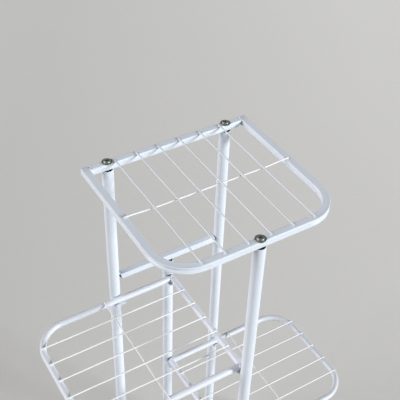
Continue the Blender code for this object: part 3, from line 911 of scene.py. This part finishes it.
# ================================================================ support tabs and their screws
def tab_outline(cx, near, far, post_y, width, face, clear=0.00012):
    """Plan of the tab: rounded free corners, and a concave seat on the upright."""
    w, pts = width / 2, []
    corner = 0.0022
    r = POST_R + clear
    reach = math.sqrt(max(0.0, r * r - (near - post_y) ** 2))
    for k in range(17):
        f = -1 + 2 * k / 16
        x = f * reach
        pts.append((cx + x, post_y - face * math.sqrt(r * r - x * x)))
    pts.append((cx + w, near))
    for k in range(7):
        a = math.pi / 2 * k / 6
        pts.append((cx + w - corner + corner * math.cos(a), far + face * (corner - corner * math.sin(a))))
    for k in range(7):
        a = math.pi / 2 * k / 6
        pts.append((cx - w + corner - corner * math.sin(a), far + face * (corner - corner * math.cos(a))))
    pts.append((cx - w, near))
    return pts


def lipped_tab(shape, cx, cy, near, far, low, high, width, face, thick=0.0020, corner=0.0022):
    """A bent tab: flat under the rail, its free edge turned up in front of it. Swept across its width with rounded ends."""
    outer, inner = 0.0026, 0.0007
    mid_y, mid_z = far + face * outer, low + outer
    profile = []
    for k in range(7):                              # outside of the bend, from below round to the front
        a = math.pi / 2 * k / 6
        profile.append((mid_y - face * outer * math.sin(a), mid_z - outer * math.cos(a)))
    profile += [(far, high - 0.0006), (far + face * 0.0002, high - 0.0002), (far + face * 0.0006, high)]
    profile += [(far + face * (thick - 0.0006), high), (far + face * (thick - 0.0002), high - 0.0002), (far + face * thick, high - 0.0006)]
    for k in range(5):                              # inside of the bend
        a = math.pi / 2 * k / 4
        profile.append((far + face * (thick + inner - inner * math.cos(a)), low + thick + inner - inner * math.sin(a)))
    seat = []
    rings = []
    half = width / 2
    stations = [0.0, 0.00012, 0.0005, 0.0011, corner, 0.0036, 0.0050, 0.0065]
    stations = [-half + v for v in stations] + [half - v for v in reversed(stations)]
    r = POST_R + 0.00012
    for x in stations:
        d = half - abs(x)
        drop = corner - math.sqrt(max(0.0, corner ** 2 - (corner - d) ** 2)) if d < corner else 0.0
        slim = 0.00035 * max(0.0, 1 - d / 0.0005) ** 2
        chord = cy - face * math.sqrt(max(0.0, r * r - x * x))
        end = chord if face * (chord - near) < 0 else near
        ring = []
        for y, z in profile:
            top_limit = high - drop
            zz = min(z, top_limit)
            ring.append((cx + x, y + face * slim * (1 if face * (y - far) < thick / 2 else -1), zz))
        ring += [(cx + x, end, low + thick - slim), (cx + x, end, low + slim)]
        rings.append(ring)
    shape.rings(rings, cap_start="flat", cap_end="flat")


for side, posts in (("left", ("back_left", "back_middle", "front")), ("right", ("back_right", "back_middle", "front"))):
    for post in posts:
        node = "%s_tray_tab_%s" % (side, post)
        lo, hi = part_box(node)
        c = mid("upright_" + post)
        face = 1 if c.y > 0 else -1
        far = lo.y if face > 0 else hi.y
        near = hi.y if face > 0 else lo.y
        s = Shape()
        if c.x != 0.0:
            lipped_tab(s, c.x, c.y, near, far, lo.z, hi.z, hi.x - lo.x, face)
            bead(s, [(c.x - 0.0030 + 0.0088 * k / 6, far + face * 0.00275, hi.z - 0.0006) for k in range(7)], 0.00115, 170 + c.x * 10)
        plan = tab_outline(c.x, near, far, c.y, hi.x - lo.x, face)
        centre = Vector((c.x, (near + far) / 2, 0.0))
        soft = 0.00035
        rings = []
        for z, shrink in ((hi.z, soft), (hi.z - soft * 0.3, soft * 0.3), (hi.z - soft, 0.0), (lo.z + soft, 0.0), (lo.z + soft * 0.3, soft * 0.3), (lo.z, soft)):
            if c.x != 0.0:
                break
            ring = []
            for x, y in plan:
                v = Vector((x, y, 0.0)) - centre
                ring.append((centre.x + v.x * (1 - shrink / 0.008), centre.y + v.y * (1 - shrink / 0.007), z))
            rings.append(ring)
        if rings:
            s.rings(rings, cap_start="flat", cap_end="flat")
        r = POST_R + 0.0002
        for dz, seed in ((-0.0018, 1), ):
            run = []
            for k in range(9):
                x = -0.0040 + 0.0080 * k / 8
                run.append((c.x + x, c.y - face * math.sqrt(r * r - x * x), lo.z + 0.0010 + dz))
            bead(s, run, 0.0009, 160 + seed + c.x * 10)
        s.piece(node + "_coated", [COAT], [node])

        node = "%s_tray_screw_%s" % (side, post)
        lo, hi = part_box(node)
        c = (lo + hi) / 2
        head_r = (hi.x - lo.x) / 2
        s = Shape()
        screw(s, (c.x, c.y, lo.z + 0.0026), -1.0, head_r, 0.0, head_r, 0.0026, 0.0019, (hi.z - lo.z) - 0.0026, 0.0013, 0.0013, 0.0007, random.uniform(0, 1.0))
        s.piece(node + "_plated", [PALE_ZINC], [node])

# ================================================================ floor
grid = Shape()
span, cells = 14.0, 28
for j in range(cells + 1):
    for i in range(cells + 1):
        grid.verts.append(Vector((-span + 2 * span * i / cells, -span + 2 * span * j / cells, -0.00015)))
for j in range(cells):
    for i in range(cells):
        a = j * (cells + 1) + i
        grid.faces.append((a, a + 1, a + cells + 2, a + cells + 1))
floor_mesh = bpy.data.meshes.new("studio_floor")
floor_mesh.from_pydata([tuple(v) for v in grid.verts], [], grid.faces)
floor_mesh.materials.append(FLOOR)
floor = bpy.data.objects.new("studio_floor", floor_mesh)
bpy.context.scene.collection.objects.link(floor)

# ================================================================ light: even white surroundings, one compact soft key from the front right, a wide fill from the left
world = bpy.data.worlds.new("soft_room")
world.use_nodes = True
world.node_tree.nodes["Background"].inputs["Color"].default_value = (0.985, 0.995, 1.0, 1.0)
world.node_tree.nodes["Background"].inputs["Strength"].default_value = 0.092
bpy.context.scene.world = world


def soft_sun(name, azimuth, elevation, strength, angle, colour):
    """Azimuth 0 shines from the front (-Y), 90 from the right (+X)."""
    data = bpy.data.lights.new(name, "SUN")
    data.energy = strength
    data.angle = math.radians(angle)
    data.color = colour
    ob = bpy.data.objects.new(name, data)
    a, e = math.radians(azimuth), math.radians(elevation)
    towards = Vector((math.sin(a) * math.cos(e), -math.cos(a) * math.cos(e), math.sin(e)))
    ob.rotation_euler = towards.to_track_quat("Z", "Y").to_euler()
    bpy.context.scene.collection.objects.link(ob)
    return ob


soft_sun("key", 36.7, 16.0, 3.28, 18.0, (0.95, 0.98, 1.0))
soft_sun("fill", -111.0, 25.0, 2.52, 52.0, (1.0, 0.97, 0.98))

# ================================================================ camera
azimuth, elevation, roll = math.radians(-32.6241), math.radians(40.3449), math.radians(2.1705)
out = Vector((math.sin(azimuth) * math.cos(elevation), -math.cos(azimuth) * math.cos(elevation), math.sin(elevation)))
ahead = -out
right = ahead.cross(Z).normalized()
up = right.cross(ahead)
right2 = right * math.cos(roll) + up * math.sin(roll)
up2 = up * math.cos(roll) - right * math.sin(roll)
cam_data = bpy.data.cameras.new("photo_view")
cam_data.sensor_fit = "HORIZONTAL"
cam_data.sensor_width = 36.0
cam_data.lens = 784.048 / 400 * 36.0
cam_data.clip_start = 0.02
cam_data.clip_end = 60.0
cam = bpy.data.objects.new("photo_view", cam_data)
turn = Matrix((right2, up2, out)).transposed().to_4x4()
cam.matrix_world = Matrix.Translation((-0.41623, -0.62592, TOP + 0.61683)) @ turn
bpy.context.scene.collection.objects.link(cam)
bpy.context.scene.camera = cam

bpy.context.scene.view_settings.view_transform = "Standard"
bpy.context.scene.view_settings.look = "None"

bpy.context.view_layer.update()
